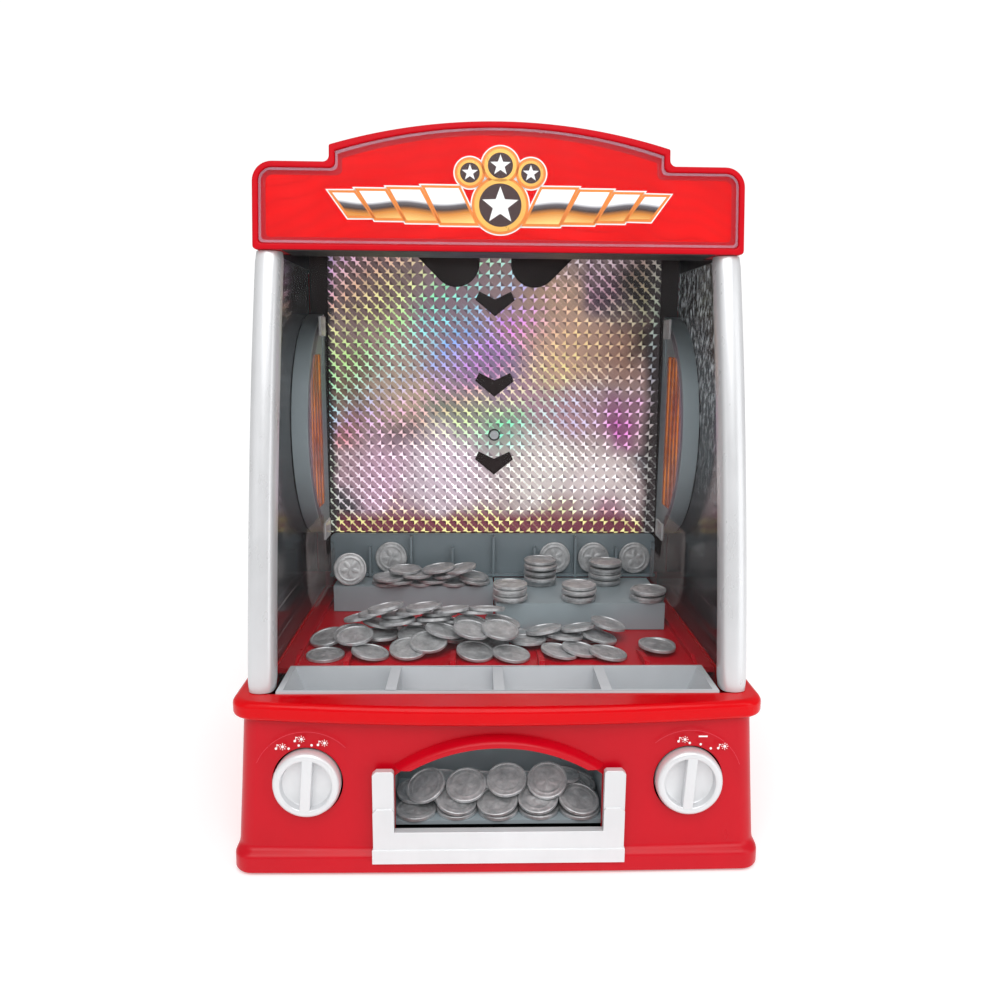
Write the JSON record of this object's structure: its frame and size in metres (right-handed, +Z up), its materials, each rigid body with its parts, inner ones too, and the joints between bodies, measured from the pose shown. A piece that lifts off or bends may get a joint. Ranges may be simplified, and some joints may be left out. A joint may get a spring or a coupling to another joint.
{
  "type": "coin pusher machine",
  "caption": "Table-top coin pusher with a clear cabin, sliding shelves, a coin gutter, an arched payout tray, turning knobs and an arched sign.",
  "frame": {"origin": "middle of the footprint, on the surface that the feet stand on", "axes": "+X to the right as seen from the front, +Y to the back, +Z up"},
  "size_m": [0.2628, 0.214, 0.3696],
  "materials": {
    "red_shell": "satin moulded red",
    "red_rim": "glossy bright red",
    "light_grey": "matt light grey",
    "grey": "matt mid grey",
    "pearl": "pearl white with a soft sheen",
    "nylon": "natural nylon",
    "black_plastic": "matt black",
    "rubber_foot": "matt black rubber",
    "clear": "clear polished plastic",
    "smoke": "dark smoked gloss",
    "amber": "amber lens",
    "foil": "glittering patterned foil",
    "sign_card": "bright red printed card",
    "steel": "plain steel",
    "circuit": "green circuit board",
    "cell": "dark battery jacket",
    "coin": "silver grey plastic coins"
  },
  "bodies": {
    "cabinet": {"base_shell": "red_shell", "bottom_plate": "black_plastic", "battery_cover": "black_plastic", "battery_cover_screw": "steel", "battery_box": "black_plastic", "battery_1": "cell", "battery_2": "cell", "battery_3": "cell", "foot_front_left": "rubber_foot", "foot_front_right": "rubber_foot", "foot_rear_left": "rubber_foot", "foot_rear_right": "rubber_foot", "deck_rim": "red_rim", "playfield": "red_shell", "gutter": "light_grey", "payout_tray": "grey", "tray_surround": "pearl", "switch_left": "black_plastic", "switch_right": "black_plastic", "post_left": "pearl", "post_right": "pearl", "side_window_left": "smoke", "side_window_right": "smoke", "front_window": "clear", "rear_panel": "red_shell", "roof_cover": "red_shell", "header_frame": "red_shell", "header_card": "sign_card", "header_lens": "clear", "back_board": "foil", "backing_sheet": "black_plastic", "board_screw": "steel", "ribbed_wall": "grey", "lamp_housing_left": "grey", "lamp_housing_right": "grey", "lamp_lens_left": "amber", "lamp_lens_right": "amber", "lamp_cover_left": "clear", "lamp_cover_right": "clear", "lamp_board_left": "circuit", "lamp_board_right": "circuit", "side_guard_left": "clear", "side_guard_right": "clear", "coin_slot_left": "pearl", "coin_slot_right": "pearl", "motor": "steel", "gearbox_plate": "black_plastic", "circuit_board": "circuit", "speaker": "black_plastic"},
    "right_shelf": {"shelf_right": "grey", "rack_right": "nylon"},
    "left_shelf": {"shelf_left": "grey", "rack_left": "nylon"},
    "pinion": {"rack_pinion": "nylon"},
    "crank": {"crank_gear": "nylon"},
    "reduction": {"reduction_gear": "nylon"},
    "motor_shaft": {"motor_pinion": "steel"},
    "left_knob": {"knob_left": "pearl"},
    "right_knob": {"knob_right": "pearl"}
  },
  "joints": [
    {"name": "right_shelf_slide", "type": "slide", "parent": "cabinet", "child": "right_shelf", "axis": [0, 1, 0], "range_m": [0, 0.036]},
    {"name": "left_shelf_slide", "type": "slide", "parent": "cabinet", "child": "left_shelf", "axis": [0, 1, 0], "range_m": [-0.036, 0]},
    {"name": "pinion_turn", "type": "hinge", "parent": "cabinet", "child": "pinion", "pos_m": [0, 0.055, 0.076], "axis": [0, 0, 1], "range_deg": [0, 229.3]},
    {"name": "crank_turn", "type": "hinge", "parent": "cabinet", "child": "crank", "pos_m": [0.045, 0.044, 0.0565], "axis": [0, 0, 1], "continuous": true},
    {"name": "reduction_turn", "type": "hinge", "parent": "cabinet", "child": "reduction", "pos_m": [0.045, 0.06972, 0.0536], "axis": [0, 0, 1], "continuous": true},
    {"name": "motor_turn", "type": "hinge", "parent": "cabinet", "child": "motor_shaft", "pos_m": [0.06672, 0.06972, 0.048], "axis": [0, 0, 1], "continuous": true},
    {"name": "left_knob_turn", "type": "hinge", "parent": "cabinet", "child": "left_knob", "pos_m": [-0.094, -0.09999, 0.0472], "axis": [0, -0.9985, 0.0541], "range_deg": [0, 32]},
    {"name": "right_knob_turn", "type": "hinge", "parent": "cabinet", "child": "right_knob", "pos_m": [0.094, -0.09999, 0.0472], "axis": [0, -0.9985, 0.0541], "range_deg": [-32, 0]}
  ],
  "couplings": [
    {"joint": "left_shelf_slide", "follows": "right_shelf_slide", "ratio": -1},
    {"joint": "pinion_turn", "follows": "right_shelf_slide", "rad_per_m": 111.11},
    {"joint": "reduction_turn", "follows": "crank_turn", "ratio": -5.4},
    {"joint": "motor_turn", "follows": "crank_turn", "ratio": 23.76}
  ]
}
